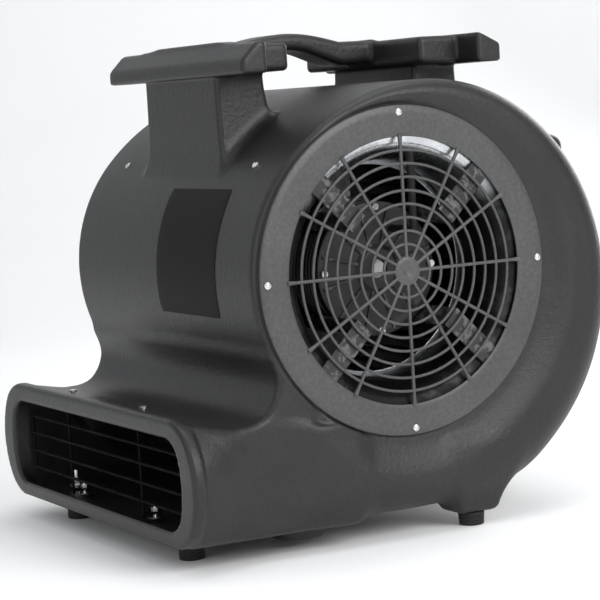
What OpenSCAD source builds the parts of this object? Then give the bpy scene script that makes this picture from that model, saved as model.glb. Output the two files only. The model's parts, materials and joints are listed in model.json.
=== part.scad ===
/* [Housing] */
// Length from the outlet lip to the rear face of the control box
overall_l = 520; // [510:1:530]
// Height of the fan axis above the floor
hub_z = 272; // [270:1:274]
// Distance of the fan axis behind the middle of the length
hub_y = 4; // [2:1:6]
// Half width of the side walls at their front edge
side_x = 219; // [216:1:224]
// How much further out the side walls stand at the rear
side_swell = 12; // [6:1:14]
// Scroll radius around the front of the fan
scroll_r0 = 172; // [171:1:174]
// Growth of the scroll radius from the top round to the floor
scroll_growth = 94; // [90:1:96]
// Height of the flat underside
belly_z = 24; // [22:1:28]
// Wall thickness of the moulded shell
wall = 5; // [4:0.5:6]

/* [Outlet] */
// Half width of the outlet lip at its top and bottom corners
lip_x = 217; // [212:1:220]
// Half width of the outlet lip at mid height
lip_bulge_x = 250; // [240:1:254]
// Height of the top of the outlet lip
lip_z = 151; // [146:1:156]
// Depth of the outlet lip
lip_d = 14; // [10:1:18]
// Half width of the open mouth at its corners
mouth_x = 203; // [196:1:205]
// Height of the floor of the mouth
mouth_z0 = 41; // [38:1:44]
// Height of the roof of the mouth
mouth_z1 = 132; // [126:1:136]

/* [Handle] */
// Height of the underside of the deck
deck_z0 = 478; // [476:1:482]
// Height of the top of the deck
deck_z1 = 510; // [508:1:514]
// Half width of the wings
wing_x = 163; // [150:1:170]
// Rise of the bevel along the front of the deck
bevel_front = 18; // [14:1:22]
// Rise of the bevel along the rear of the deck
bevel_rear = 13; // [10:1:16]
// Half width of the blocks beside the finger gap
block_x = 124; // [110:1:130]
// Front edge of the deck
deck_y0 = -136; // [-140:1:-130]
// Rear edge of the deck
deck_y1 = 173; // [168:1:178]
// Front edge of the finger gap
gap_y0 = -62; // [-66:1:-58]
// Rear edge of the finger gap
gap_y1 = 96; // [90:1:100]
// Half width of the grip
grip_x = 27; // [22:1:32]
// Height of the grip's arch above the deck
grip_rise = 11; // [8:1:14]
// Thickness of the grip at the top of its arch
grip_t = 18; // [16:1:20]
// Half width of the necks under the deck
neck_x = 87; // [80:1:92]

/* [Inlet grilles] */
// Outer radius of the grille flange
ring_r = 167; // [166:0.5:168]
// Radius of the grille opening
grille_r = 135; // [130:1:137]
// Number of spokes
spokes = 12; // [8:2:16]
// Number of concentric bars
hoops = 8; // [5:1:9]
// Width of each grille hoop
hoop_w = 3; // [2.4:0.1:3.6]
// Width of each grille spoke
spoke_w = 3.6; // [3:0.1:4.5]
// Radius of the screw circle
ring_screw_r = 159.5; // [156:0.5:162]

/* [Fan and motor] */
// Outer radius of the blades
blade_r1 = 127; // [120:1:130]
// Inner radius of the blades
blade_r0 = 109; // [104:1:112]
// Half width of the wheel
wheel_x = 150; // [140:1:152]
// Number of blades on each side of the centre plate
blades = 36; // [24:4:44]
// Radius of the motor shell
motor_r = 70; // [66:1:72]
// Radius of the motor shaft
shaft_r = 8; // [7:0.5:9]

/* [Feet] */
// Radius of the rubber feet
foot_r = 14; // [12:1:16]
// Sideways place of the front feet
foot_front_x = 143; // [135:1:150]
// Lengthwise place of the front feet
foot_front_y = -217; // [-222:1:-210]
// Sideways place of the rear feet
foot_rear_x = 205; // [200:1:207]
// Lengthwise place of the rear feet
foot_rear_y = 77; // [74:1:80]

/* [Hidden] */
half_l = overall_l / 2;
lean = side_swell / (half_l + scroll_r0);
edge_d = 26;
seat_x = side_x - 0.5;
cone_x = seat_x - 3;
housing_hole_r = 146;
shell_c = [0.23, 0.23, 0.24];
grille_c = [0.40, 0.40, 0.41];
steel_c = [0.75, 0.76, 0.77];
dark_c = [0.10, 0.10, 0.10];
copper_c = [0.72, 0.43, 0.25];
clear = 0.06;
motor_x0 = 20;
motor_x1 = 160;
panel_y = 243;
panel_t = 3;
control_z = 362;
knob_x = -38;
button_x = 2;
gland_x = 40;
foot_block_z = 14;
guard_y = -246;
guard_z = [56, 75, 95, 114];
guard_post_x = 91;
wire_r = 1.6;
brace_a = 138;
label_a0 = 147.5;
label_a1 = 192.4;
label_x0 = -2;
label_x1 = 136;
stud_z = 41;

// Smooth step from 0 to 1
function smooth(t) = let (u = min(1, max(0, t))) u * u * (3 - 2 * u);
// Share of the scroll's growth at angle a, measured from the rear towards the top
function growth(a) = smooth((135 - a) / 175);
function scroll_r(a) = scroll_r0 + scroll_growth * growth(a);
function edge_r(a) = 6 + 28 * growth(a);
function scroll_pt(a, edge, inset) = let (r = scroll_r(a) - inset - edge * edge_r(a))
    [hub_y + r * cos(a), max(belly_z + inset + 14 * edge, hub_z + r * sin(a))];
function scroll_outline(edge, inset) = concat(
    [for (a = [215:-5:-80]) scroll_pt(a, edge, inset)],
    [[-120, belly_z + inset + 14 * edge]]);

// Cylinder about the fan axis from x0 to x1
module axial(x0, x1, r) {
    translate([x0, hub_y, hub_z]) rotate([0, 90, 0]) cylinder(h = x1 - x0, r = r, $fn = 96);
}

module axial_ring(x0, x1, r0, r1) {
    difference() {
        axial(x0, x1, r1);
        axial(x0 - 1, x1 + 1, r0);
    }
}

// Places its child at radius r and angle a about the fan axis, pointing along +X
module around(r, a) {
    translate([0, hub_y + r * cos(a), hub_z + r * sin(a)]) children();
}

module along_x(x0, x1, r, sides = 32) {
    translate([x0, 0, 0]) rotate([0, 90, 0]) cylinder(h = x1 - x0, r = r, $fn = sides);
}

// Cylinder along the length of the machine
module along_y(x, z, y0, y1, r, sides = 32) {
    translate([x, y0, z]) rotate([-90, 0, 0]) cylinder(h = y1 - y0, r = r, $fn = sides);
}

module both_sides() {
    children();
    mirror([1, 0, 0]) children();
}

module box(lo, hi) {
    translate(lo) cube(hi - lo);
}

// Thin cross-section of the scroll body that leans out towards the rear
module scroll_slice(side, x, edge, inset) {
    multmatrix([[1, side * lean, 0, side * x], [0, 1, 0, 0], [0, 0, 1, 0]]) rotate([90, 0, 90])
        linear_extrude(0.1, center = true) polygon(scroll_outline(edge, inset));
}

// Scroll body with rounded rims, shrunk by inset all round
module scroll_body(inset) {
    x1 = side_x + lean * scroll_r0 - inset;
    hull() {
        rotate([90, 0, 90]) linear_extrude(2 * (x1 - edge_d), center = true)
            polygon(scroll_outline(0, inset));
        for (side = [-1, 1], turn = [30, 60, 90]) {
            scroll_slice(side, x1 - edge_d * (1 - sin(turn)), 1 - cos(turn), inset);
        }
    }
}

module mouth_outline(corner_x, bulge_x, z0, z1, r) {
    hull() {
        for (s = [-1, 1], z = [z0 + r, z1 - r]) translate([s * (corner_x - r), z]) circle(r, $fn = 24);
        for (s = [-1, 1]) translate([s * (bulge_x - 40), (z0 + z1) / 2]) circle(40, $fn = 24);
    }
}

module mouth_slice(y, corner_x, bulge_x, z0, z1, r) {
    translate([0, y, 0]) rotate([90, 0, 0])
        linear_extrude(0.1, center = true) mouth_outline(corner_x, bulge_x, z0, z1, r);
}

module duct_outside() {
    translate([0, -half_l + lip_d, 0]) rotate([90, 0, 0])
        linear_extrude(lip_d) mouth_outline(lip_x, lip_bulge_x, belly_z, lip_z, 20);
    hull() {
        mouth_slice(-half_l + lip_d, lip_x - 4, lip_bulge_x - 5, belly_z, lip_z - 3, 20);
        mouth_slice(-60, side_x - 5, side_x + 2, belly_z, 128, 14);
    }
    difference() {
        box([-198, -178, 128], [198, -120, 174]);
        translate([-200, -180, 174]) along_x(0, 400, 37, 48);
    }
}

module duct_inside() {
    hull() {
        mouth_slice(-half_l - 1, mouth_x, mouth_x + 14, mouth_z0, mouth_z1, 15);
        mouth_slice(-half_l + lip_d + 6, mouth_x - 1, mouth_x + 10, mouth_z0 - 6, mouth_z1 + 3, 15);
        mouth_slice(-75, mouth_x - 2, mouth_x, belly_z + wall + 0.7, 120, 9);
    }
}

module neck(y0, y1, base_y0, base_y1, inset) {
    hull() {
        box([-neck_x + inset, y0 + inset, deck_z0 - 1], [neck_x - inset, y1 - inset, deck_z0]);
        box([-neck_x - 8 + inset, base_y0 + inset, 392], [neck_x + 8 - inset, base_y1 - inset, 394]);
    }
}

module control_box() {
    translate([-150, 0, 0]) rotate([90, 0, 90]) linear_extrude(300)
        polygon([[150, 330], [200, 396], [226, 403], [half_l, 391], [half_l, 305], [246, 262], [200, 260]]);
}

module foot_block() {
    hull() {
        box([182, foot_rear_y - 22, foot_block_z], [side_x + 2, foot_rear_y + 25, foot_block_z + 2]);
        box([178, foot_rear_y - 30, 62], [side_x + 2, foot_rear_y + 50, 64]);
    }
}

module housing_shell() {
    color(shell_c) difference() {
        union() {
            scroll_body(0);
            duct_outside();
            neck(-127, -69, -128, -40, 0);
            neck(111, 165, 80, 172, 0);
            control_box();
            both_sides() foot_block();
            both_sides() translate([165, -108, 10]) cylinder(h = 30, r = 28, $fn = 48);
        }
        difference() {
            scroll_body(wall);
            // The cutoff tongue between the fan and the duct roof
            box([-250, -200, 122], [250, -100, 128]);
        }
        duct_inside();
        neck(-127, -69, -128, -40, wall);
        neck(111, 165, 80, 172, wall);
        // Pocket for the controls, closed towards the fan by the scroll's own wall
        difference() {
            box([-64, 200, 334], [64, panel_y + 1, 384]);
            scroll_body(0);
        }
        box([-72, panel_y, 326], [72, half_l + 1, 400]);
        both_sides() {
            axial(150, 260, housing_hole_r);
            axial(cone_x, 260, 160.6);
            axial(seat_x, 260, ring_r + 1.5);
            for (a = [0:90:270]) around(ring_screw_r, a) along_x(200, 240, 2.6, 16);
            translate([foot_rear_x, foot_rear_y, 0]) cylinder(h = 60, r = 3.4, $fn = 24);
            translate([foot_front_x, foot_front_y, 0]) cylinder(h = 60, r = 3.4, $fn = 24);
            translate([154, hub_y, hub_z]) rotate([brace_a, 0, 0])
                along_y(0, 0, scroll_r0 - 12, scroll_r0 + 20, 2.6, 16);
            translate([guard_post_x, guard_y + 10, 120]) cylinder(h = 60, r = 2.3, $fn = 16);
        }
        for (s = [-1, 1], z = [331, 392]) along_y(s * 67, z, 230, 262, 1.8, 16);
    }
}

// Wing across the end of the deck, bevelled along its outer edge
module wing(outer_y, inner_y, run, rise) {
    toward = sign(inner_y - outer_y);
    rotate([90, 0, 90]) translate([0, 0, -wing_x]) linear_extrude(2 * wing_x)
        polygon([[outer_y, deck_z0], [outer_y, deck_z1 - rise], [outer_y + toward * run, deck_z1],
            [inner_y, deck_z1], [inner_y, deck_z0]]);
}

// Grip: an arch between the two blocks, thicker towards the rear
module grip() {
    rear_t = grip_t + 7;
    translate([-grip_x, 0, 0]) rotate([90, 0, 90]) linear_extrude(2 * grip_x) polygon(concat(
        [for (t = [0:10]) [-72 + 13 * t, deck_z1 + grip_rise * sin(18 * t)]],
        [[gap_y1 + 4, deck_z1], [gap_y1 + 4, deck_z1 - rear_t], [56, deck_z1 - rear_t],
            [0, deck_z1 + grip_rise - grip_t], [-36, deck_z1 - 8], [gap_y0 - 4, deck_z1 - 16],
            [-72, deck_z1 - 16]]));
}

module handle_deck() {
    color(shell_c) difference() {
        union() {
            wing(deck_y0, -108, bevel_front, bevel_front);
            wing(deck_y1, 144, 2 * bevel_rear, bevel_rear);
            box([-block_x, -110, deck_z0], [block_x, gap_y0, deck_z1]);
            box([-block_x, gap_y1, deck_z0], [block_x, 146, deck_z1]);
            grip();
            // Raised middle of the front wing
            hull() {
                box([-107, -116, deck_z1 - 2], [107, -96, deck_z1]);
                box([-64, -116, deck_z1], [64, -96, deck_z1 + 3.5]);
            }
        }
        box([-neck_x + wall, -127 + wall, deck_z0 - 1], [neck_x - wall, -69 - wall, deck_z1 - wall]);
        box([-neck_x + wall, 111 + wall, deck_z0 - 1], [neck_x - wall, 158 - wall, deck_z1 - wall - 3]);
    }
}

module grille() {
    bar_x = seat_x + 3.6;
    difference() {
        union() {
            axial_ring(seat_x, seat_x + 4.6, 148, ring_r);
            axial_ring(bar_x, seat_x + 5.6, grille_r, 163);
            for (i = [1:hoops]) {
                r = grille_r * (i + 1) / (hoops + 2);
                axial_ring(bar_x, bar_x + 2.4, r - hoop_w / 2, r + hoop_w / 2);
            }
            for (i = [0:spokes - 1]) translate([0, hub_y, hub_z]) rotate([i * 360 / spokes, 0, 0])
                box([bar_x, 12, -spoke_w / 2], [bar_x + 3, grille_r + 1, spoke_w / 2]);
            axial(bar_x - 0.6, bar_x + 3.6, 15);
        }
        for (a = [0:90:270]) around(ring_screw_r, a) along_x(seat_x - 1, seat_x + 8, 2.3);
    }
}

module grille_right() { color(grille_c) grille(); }
module grille_left() { color(grille_c) mirror([1, 0, 0]) grille(); }

module pan_screw(x, head_r, shank_r, length) {
    along_x(x - length, x, shank_r);
    along_x(x, x + head_r * 0.6, head_r);
}

module grille_screws() {
    for (a = [0:90:270]) around(ring_screw_r, a) pan_screw(seat_x + 5.6, 4, 2, 16);
}

module grille_screws_right() { color(steel_c) grille_screws(); }
module grille_screws_left() { color(steel_c) mirror([1, 0, 0]) grille_screws(); }

// Spun sheet-metal bell mouth
module inlet_cone() {
    bell = [for (t = [0:15:90]) [112 + 20 * (1 - sin(t)), cone_x - 1 - 46 * (1 - cos(t))]];
    lower = [for (p = bell) [p[0] + 1.6, p[1] - 1.2]];
    difference() {
        union() {
            axial_ring(cone_x, cone_x + 2, 131, 156);
            translate([0, hub_y, hub_z]) rotate([0, 90, 0]) rotate_extrude($fn = 96)
                polygon(concat([[133, cone_x + 1.9], [131, cone_x + 2]], bell, [[113, 156], [114.6, 156]],
                    [for (i = [6:-1:1]) lower[i]], [[134, cone_x]]));
        }
        for (a = [45:90:315]) around(139, a) along_x(cone_x - 1, cone_x + 3, 3.2);
    }
}

module inlet_cone_right() { color(steel_c) inlet_cone(); }
module inlet_cone_left() { color(steel_c) mirror([1, 0, 0]) inlet_cone(); }

// Forward-curved blades, each a thin arc between the two radii
module blade_set() {
    depth = blade_r1 - blade_r0;
    arc = [for (t = [0:4]) [blade_r0 + depth * t / 4, 7 * sin(45 * t)]];
    for (i = [0:blades - 1]) translate([1, hub_y, hub_z]) rotate([i * 360 / blades, 0, 0])
        rotate([90, 0, 90]) linear_extrude(wheel_x - 4)
            polygon(concat(arc, [for (t = [4:-1:0]) arc[t] + [0, 0.9]]));
}

module wheel_blades_right() { color(steel_c) blade_set(); }
module wheel_blades_left() { color(steel_c) mirror([1, 0, 0]) blade_set(); }
module wheel_center_plate() { color(steel_c) axial_ring(-1, 1, shaft_r, blade_r1 + 1); }
module end_ring() { axial_ring(wheel_x - 3, wheel_x, blade_r0 - 2, blade_r1 + 2); }
module wheel_end_ring_right() { color(steel_c) end_ring(); }
module wheel_end_ring_left() { color(steel_c) mirror([1, 0, 0]) end_ring(); }

module wheel_hub() {
    color(steel_c) difference() {
        union() {
            axial_ring(-6, -1, shaft_r, 34);
            axial_ring(-30, -6, shaft_r, 20);
        }
        translate([-20, hub_y, hub_z]) cylinder(h = 30, r = 3, $fn = 24);
    }
}

module hub_set_screw() {
    color(dark_c) translate([-20, hub_y, hub_z + shaft_r]) cylinder(h = 11, r = 3, $fn = 24);
}

module motor_shaft() { color(steel_c) axial(-34, 168, shaft_r); }
module motor_rotor() { color(steel_c) axial_ring(50, 132, shaft_r, 40); }
module motor_stator() { color(steel_c) axial_ring(52, 130, 40.6, 62); }

module motor_windings() {
    color(copper_c) {
        axial_ring(38, 52, 43, 59);
        axial_ring(130, 144, 43, 59);
    }
}

module motor_can() { color(dark_c) axial_ring(motor_x0, motor_x1, motor_r - 4, motor_r); }

module end_bell(x, s, boss_h) {
    difference() {
        union() {
            axial(min(x, x + s * 6), max(x, x + s * 6), motor_r);
            axial(min(x - s * 10, x + s * boss_h), max(x - s * 10, x + s * boss_h), 22);
        }
        axial(x - 30, x + 30, shaft_r + 1);
        axial(min(x - s * 11, x + s * 3), max(x - s * 11, x + s * 3), 17.5);
        for (a = [0:90:270]) around(64, a) along_x(x - 10, x + 10, 2.1);
    }
}

module motor_front_bell() { color(grille_c) end_bell(motor_x0, -1, 8); }
module motor_rear_bell() { color(grille_c) end_bell(motor_x1, 1, 9); }
module bearing(x) { axial_ring(x, x + 12, shaft_r + clear, 17.5); }
module motor_bearing_front() { color(steel_c) bearing(motor_x0 - 3); }
module motor_bearing_rear() { color(steel_c) bearing(motor_x1 - 9); }

module motor_through_bolts() {
    color(steel_c) for (a = [0:90:270]) around(64, a) {
        along_x(motor_x0 - 9, motor_x1 + 6, 1.9);
        along_x(motor_x0 - 9, motor_x0 - 6, 3.6);
        along_x(motor_x1 + 6, motor_x1 + 9, 3.6);
    }
}

module motor_band() { color(steel_c) axial_ring(76, 116, motor_r, motor_r + 2.5); }

module motor_mount_arms() {
    foot_x = cone_x + 2;
    band_r = motor_r + 2.5;
    color(steel_c) for (a = [45:90:315]) translate([0, hub_y, hub_z]) rotate([a, 0, 0]) difference() {
        union() {
            box([foot_x, band_r, -11], [foot_x + 3, 145, 11]);
            box([72, band_r, -11], [foot_x + 3, band_r + 3, 11]);
        }
        translate([0, 139, 0]) along_x(foot_x - 1, foot_x + 4, 3.2);
    }
}

module mount_bolts() {
    color(steel_c) for (a = [45:90:315]) around(139, a) {
        along_x(cone_x - 8, cone_x + 5, 3);
        along_x(cone_x - 6, cone_x, 5.5);
    }
}

module run_capacitor() {
    color(grille_c) translate([0, hub_y, hub_z + motor_r + 2.5 + 17]) along_x(18, 92, 16, 48);
}

module capacitor_clamp() {
    z = hub_z + motor_r + 2.5;
    color(steel_c) difference() {
        union() {
            translate([0, hub_y, z + 17]) along_x(78, 90, 17.5, 48);
            box([78, hub_y - 17, z], [90, hub_y + 17, z + 6]);
        }
        translate([0, hub_y, z + 17]) along_x(70, 100, 16, 48);
        axial(70, 100, motor_r + 2.5);
    }
}

module motor_lead() {
    color(dark_c) {
        translate([0, hub_y + 20, hub_z + 40]) along_x(motor_x1 + 6, 212, 4, 24);
        translate([208, hub_y + 20, hub_z + 40]) cylinder(h = 80, r = 4, $fn = 24);
    }
}

module inner_brace() {
    r = scroll_r0 - wall - 0.2;
    color(steel_c) intersection() {
        axial_ring(-170, 170, r - 2, r);
        translate([0, hub_y, hub_z]) rotate([brace_a, 0, 0]) box([-170, 100, -14], [170, 200, 14]);
    }
}

module brace_screws() {
    color(steel_c) both_sides() translate([154, hub_y, hub_z]) rotate([brace_a, 0, 0]) {
        along_y(0, 0, scroll_r0 - 12, scroll_r0, 2, 24);
        along_y(0, 0, scroll_r0 + 0.1, scroll_r0 + 2.6, 4, 24);
    }
}

module outlet_guard() {
    color(dark_c) {
        for (z = guard_z) translate([0, guard_y, z]) along_x(-197, 197, wire_r, 16);
        for (x = [-196, -guard_post_x, guard_post_x, 196]) {
            end_wire = abs(x) > guard_post_x;
            z0 = end_wire ? guard_z[0] : mouth_z0 - 4;
            z1 = end_wire ? guard_z[3] : mouth_z1 + 1;
            translate([x, guard_y + 2 * wire_r - 0.4, z0]) cylinder(h = z1 - z0, r = wire_r, $fn = 16);
        }
        both_sides() difference() {
            translate([guard_post_x - 6, guard_y + 1, mouth_z1]) cube([12, 15, 1.6]);
            translate([guard_post_x, guard_y + 10, mouth_z1 - 1]) cylinder(h = 4, r = 2.3, $fn = 24);
        }
        // Tabs that hold the posts to the studs in the duct's floor
        both_sides() difference() {
            box([guard_post_x - 5, guard_y + 1, stud_z], [guard_post_x + 5, guard_y + 22, stud_z + 1.6]);
            translate([guard_post_x, guard_y + 16, stud_z - 1]) cylinder(h = 4, r = 2.5, $fn = 24);
        }
    }
}

module guard_screws() {
    color(steel_c) both_sides() translate([guard_post_x, guard_y + 10, 0]) {
        translate([0, 0, mouth_z1 - 4]) cylinder(h = 23, r = 2, $fn = 24);
        translate([0, 0, 148.8]) cylinder(h = 2.4, r = 4, $fn = 24);
        // Floor studs, each with a foot plate and a nut on its tab
        translate([0, 6, 36]) {
            cylinder(h = 1.5, r = 8, $fn = 32);
            cylinder(h = 14, r = 2.2, $fn = 24);
            translate([0, 0, stud_z - 34.3]) cylinder(h = 4, r = 4.6, $fn = 6);
        }
    }
}

// Rubber foot with a stepped tread and a recess for the bolt's head
module foot(x, y, top) {
    color(dark_c) translate([x, y, 0]) difference() {
        union() {
            cylinder(h = top, r = foot_r - 1, $fn = 48);
            translate([0, 0, 1]) cylinder(h = 5, r = foot_r, $fn = 48);
        }
        translate([0, 0, -1]) cylinder(h = 8, r = 6.5, $fn = 32);
        cylinder(h = top + 1, r = 3.2, $fn = 32);
    }
}

module foot_front_right() { foot(foot_front_x, foot_front_y, belly_z); }
module foot_front_left() { foot(-foot_front_x, foot_front_y, belly_z); }
module foot_rear_right() { foot(foot_rear_x, foot_rear_y, foot_block_z); }
module foot_rear_left() { foot(-foot_rear_x, foot_rear_y, foot_block_z); }

module foot_bolt(top) {
    translate([0, 0, 7]) cylinder(h = top - 7, r = 3, $fn = 24);
    translate([0, 0, 3]) cylinder(h = 4, r = 5.5, $fn = 6);
}

module foot_bolts() {
    color(steel_c) both_sides() {
        translate([foot_front_x, foot_front_y, 0]) foot_bolt(54);
        translate([foot_rear_x, foot_rear_y, 0]) foot_bolt(44);
    }
}

module foot_nuts() {
    color(steel_c) both_sides() translate([foot_front_x, foot_front_y, 0]) difference() {
        union() {
            translate([0, 0, 36.5]) cylinder(h = 1.5, r = 9, $fn = 32);
            translate([0, 0, 38]) cylinder(h = 6, r = 5.8, $fn = 6);
        }
        translate([0, 0, 30]) cylinder(h = 20, r = 3, $fn = 24);
    }
}

module control_panel() {
    color(dark_c) difference() {
        box([-71.5, panel_y, 326.5], [71.5, panel_y + panel_t, 395]);
        along_y(knob_x, control_z, 200, 300, 5);
        along_y(button_x, control_z, 200, 300, 5.5);
        along_y(gland_x, control_z, 200, 300, 8.1);
        for (s = [-1, 1], z = [331, 392]) along_y(s * 67, z, 230, 262, 2.2, 24);
    }
}

module panel_screws() {
    color(steel_c) for (s = [-1, 1], z = [331, 392]) {
        along_y(s * 67, z, panel_y - 9, panel_y + panel_t, 1.6, 24);
        along_y(s * 67, z, panel_y + panel_t, panel_y + panel_t + 2, 3.2, 24);
    }
}

module speed_switch() {
    color(dark_c) difference() {
        union() {
            box([knob_x - 13, panel_y - 9, control_z - 9], [knob_x + 13, panel_y, control_z + 15]);
            along_y(knob_x, control_z, panel_y - 1, panel_y + panel_t, 4.9);
        }
        along_y(knob_x, control_z, panel_y - 8, panel_y + 10, 3.06);
    }
}

module switch_shaft() { color(steel_c) along_y(knob_x, control_z, panel_y - 7, panel_y + 12, 3); }

module speed_knob() {
    color(dark_c) difference() {
        union() {
            along_y(knob_x, control_z, panel_y + panel_t + 1, panel_y + panel_t + 5, 15, 48);
            along_y(knob_x, control_z, panel_y + panel_t + 4, half_l - 0.5, 12, 48);
            box([knob_x - 2.5, panel_y + panel_t + 5, control_z - 15],
                [knob_x + 2.5, half_l - 0.5, control_z + 15]);
        }
        along_y(knob_x, control_z, panel_y, panel_y + 12, 3);
    }
}

module reset_breaker() {
    color(dark_c) difference() {
        union() {
            box([button_x - 9, panel_y - 9, control_z - 9], [button_x + 9, panel_y, control_z + 9]);
            along_y(button_x, control_z, panel_y - 1, panel_y + panel_t + 2, 5.4);
        }
        along_y(button_x, control_z, panel_y - 6, panel_y + 10, 3.56);
    }
}

module reset_button() { color([0.7, 0.1, 0.08]) along_y(button_x, control_z, panel_y - 3, panel_y + 8, 3.5); }

module cord_gland() {
    color(dark_c) difference() {
        union() {
            along_y(gland_x, control_z, panel_y - 8, panel_y + panel_t + 1, 8);
            along_y(gland_x, control_z, panel_y + panel_t, panel_y + panel_t + 4, 11, 6);
            along_y(gland_x, control_z, panel_y + panel_t + 4, half_l - 1, 9.5, 48);
        }
        along_y(gland_x, control_z, panel_y - 20, half_l + 5, 4.2);
    }
}

module gland_nut() {
    color(dark_c) difference() {
        along_y(gland_x, control_z, panel_y - 6, panel_y, 11.5, 6);
        along_y(gland_x, control_z, panel_y - 20, half_l, 8);
    }
}

// Blank label that follows the front of the scroll
module label_plate() {
    color(dark_c) difference() {
        axial_ring(label_x0, label_x1, scroll_r0 + 0.05, scroll_r0 + 0.7);
        translate([0, hub_y, hub_z]) rotate([label_a0, 0, 0]) box([-20, -400, -400], [150, 400, 0]);
        translate([0, hub_y, hub_z]) rotate([label_a1, 0, 0]) box([-20, -400, 0], [150, 400, 400]);
    }
}

housing_shell();
handle_deck();
grille_right();
grille_left();
grille_screws_right();
grille_screws_left();
inlet_cone_right();
inlet_cone_left();
wheel_blades_right();
wheel_blades_left();
wheel_center_plate();
wheel_end_ring_right();
wheel_end_ring_left();
wheel_hub();
hub_set_screw();
motor_shaft();
motor_rotor();
motor_stator();
motor_windings();
motor_can();
motor_front_bell();
motor_rear_bell();
motor_bearing_front();
motor_bearing_rear();
motor_through_bolts();
motor_band();
motor_mount_arms();
mount_bolts();
run_capacitor();
capacitor_clamp();
motor_lead();
inner_brace();
brace_screws();
outlet_guard();
guard_screws();
foot_front_right();
foot_front_left();
foot_rear_right();
foot_rear_left();
foot_bolts();
foot_nuts();
control_panel();
panel_screws();
speed_switch();
switch_shaft();
speed_knob();
reset_breaker();
reset_button();
cord_gland();
gland_nut();
label_plate();
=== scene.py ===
import json
import math

import bmesh
import bpy
import numpy as np
import openvdb
from mathutils import Matrix, Vector


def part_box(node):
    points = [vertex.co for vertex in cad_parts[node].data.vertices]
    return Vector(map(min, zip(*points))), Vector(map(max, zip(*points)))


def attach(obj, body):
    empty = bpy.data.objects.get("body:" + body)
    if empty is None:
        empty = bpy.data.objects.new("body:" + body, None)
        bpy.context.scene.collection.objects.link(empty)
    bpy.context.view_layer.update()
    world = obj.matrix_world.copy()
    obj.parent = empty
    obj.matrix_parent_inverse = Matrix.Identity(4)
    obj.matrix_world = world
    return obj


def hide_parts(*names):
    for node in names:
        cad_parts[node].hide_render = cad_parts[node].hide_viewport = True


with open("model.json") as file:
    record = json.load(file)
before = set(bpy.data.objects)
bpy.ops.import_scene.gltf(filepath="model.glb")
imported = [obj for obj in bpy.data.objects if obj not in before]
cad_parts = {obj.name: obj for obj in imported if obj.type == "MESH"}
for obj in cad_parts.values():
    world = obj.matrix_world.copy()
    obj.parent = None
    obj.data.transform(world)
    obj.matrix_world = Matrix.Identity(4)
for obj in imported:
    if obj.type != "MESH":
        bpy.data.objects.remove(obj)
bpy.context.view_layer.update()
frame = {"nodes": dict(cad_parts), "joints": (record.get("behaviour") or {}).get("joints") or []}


def joint_place(name):
    return next(j["pos_m"] for j in frame["joints"] if j["name"] == name)


# ---------------------------------------------------------------- sizes, in metres

MM = 0.001
FLOOR_Z = 0.0
HUB_Y, HUB_Z = joint_place("rotor_spin")[1:3]
RING_LO, RING_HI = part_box("grille_right")
RING_R = (RING_HI[2] - RING_LO[2]) / 2
SEAT_X = RING_LO[0]
SHELL_LO, SHELL_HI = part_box("housing_shell")
DECK_LO, DECK_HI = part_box("handle_deck")
PANEL_LO, PANEL_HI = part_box("control_panel")
FRONT_Y, REAR_Y = SHELL_LO[1], SHELL_HI[1]
WALL = 5 * MM
VOXEL = 2.8 * MM

# Scroll: angles are in degrees from +Y towards +Z, seen from the right.
SCROLL_R0 = 172 * MM
SCROLL_GROWTH = 94 * MM
GROWTH_START, GROWTH_SPAN = 135.0, 175.0
CUTOFF_Z = 122 * MM
SIDE_X = SEAT_X + 0.5 * MM
SIDE_MAX = SIDE_X + 10.8 * MM

# Duct, outlet lip and mouth.
LIP_X, LIP_Z = 216 * MM, 151 * MM
LIP_BULGE_X = SHELL_HI[0] - 1.0 * MM
LIP_DEPTH = 15 * MM
MOUTH_X, MOUTH_BULGE_X = 203 * MM, 218 * MM
MOUTH_Z0, MOUTH_Z1 = 41 * MM, 132 * MM
TONGUE_LO, TONGUE_HI = (-0.26, -0.2, 0.121), (0.26, -0.1, 0.128)
INLET_R = 146 * MM

# Necks, control box and feet.
NECK_X, NECK_DROP = 87 * MM, 85 * MM
FRONT_NECK_Y = (-128 * MM, -72 * MM)
REAR_NECK_Y = (111 * MM, 165 * MM)
CONTROL_X = 150 * MM
RECESS_X, RECESS_Z = 73 * MM, (325 * MM, 397 * MM)
BELLY_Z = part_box("foot_front_right")[1][2]
REAR_FOOT_LO, REAR_FOOT_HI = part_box("foot_rear_right")
REAR_FOOT_Y = (REAR_FOOT_LO[1] + REAR_FOOT_HI[1]) / 2
FRONT_BOSS_X, FRONT_BOSS_Y, FRONT_BOSS_R = 165 * MM, -108 * MM, 28 * MM

# Handle deck.
DECK_TOP = DECK_HI[2] - 11 * MM
WING_X, BLOCK_X, GRIP_X = DECK_HI[0], 124 * MM, 27 * MM
GAP_Y0, GAP_Y1 = -62 * MM, 96 * MM
DECK_Y0, DECK_Y1 = DECK_LO[1], DECK_HI[1]
FRONT_WING_IN, REAR_WING_IN = -108 * MM, 144 * MM
GRIP_ARCH = 11 * MM

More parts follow.
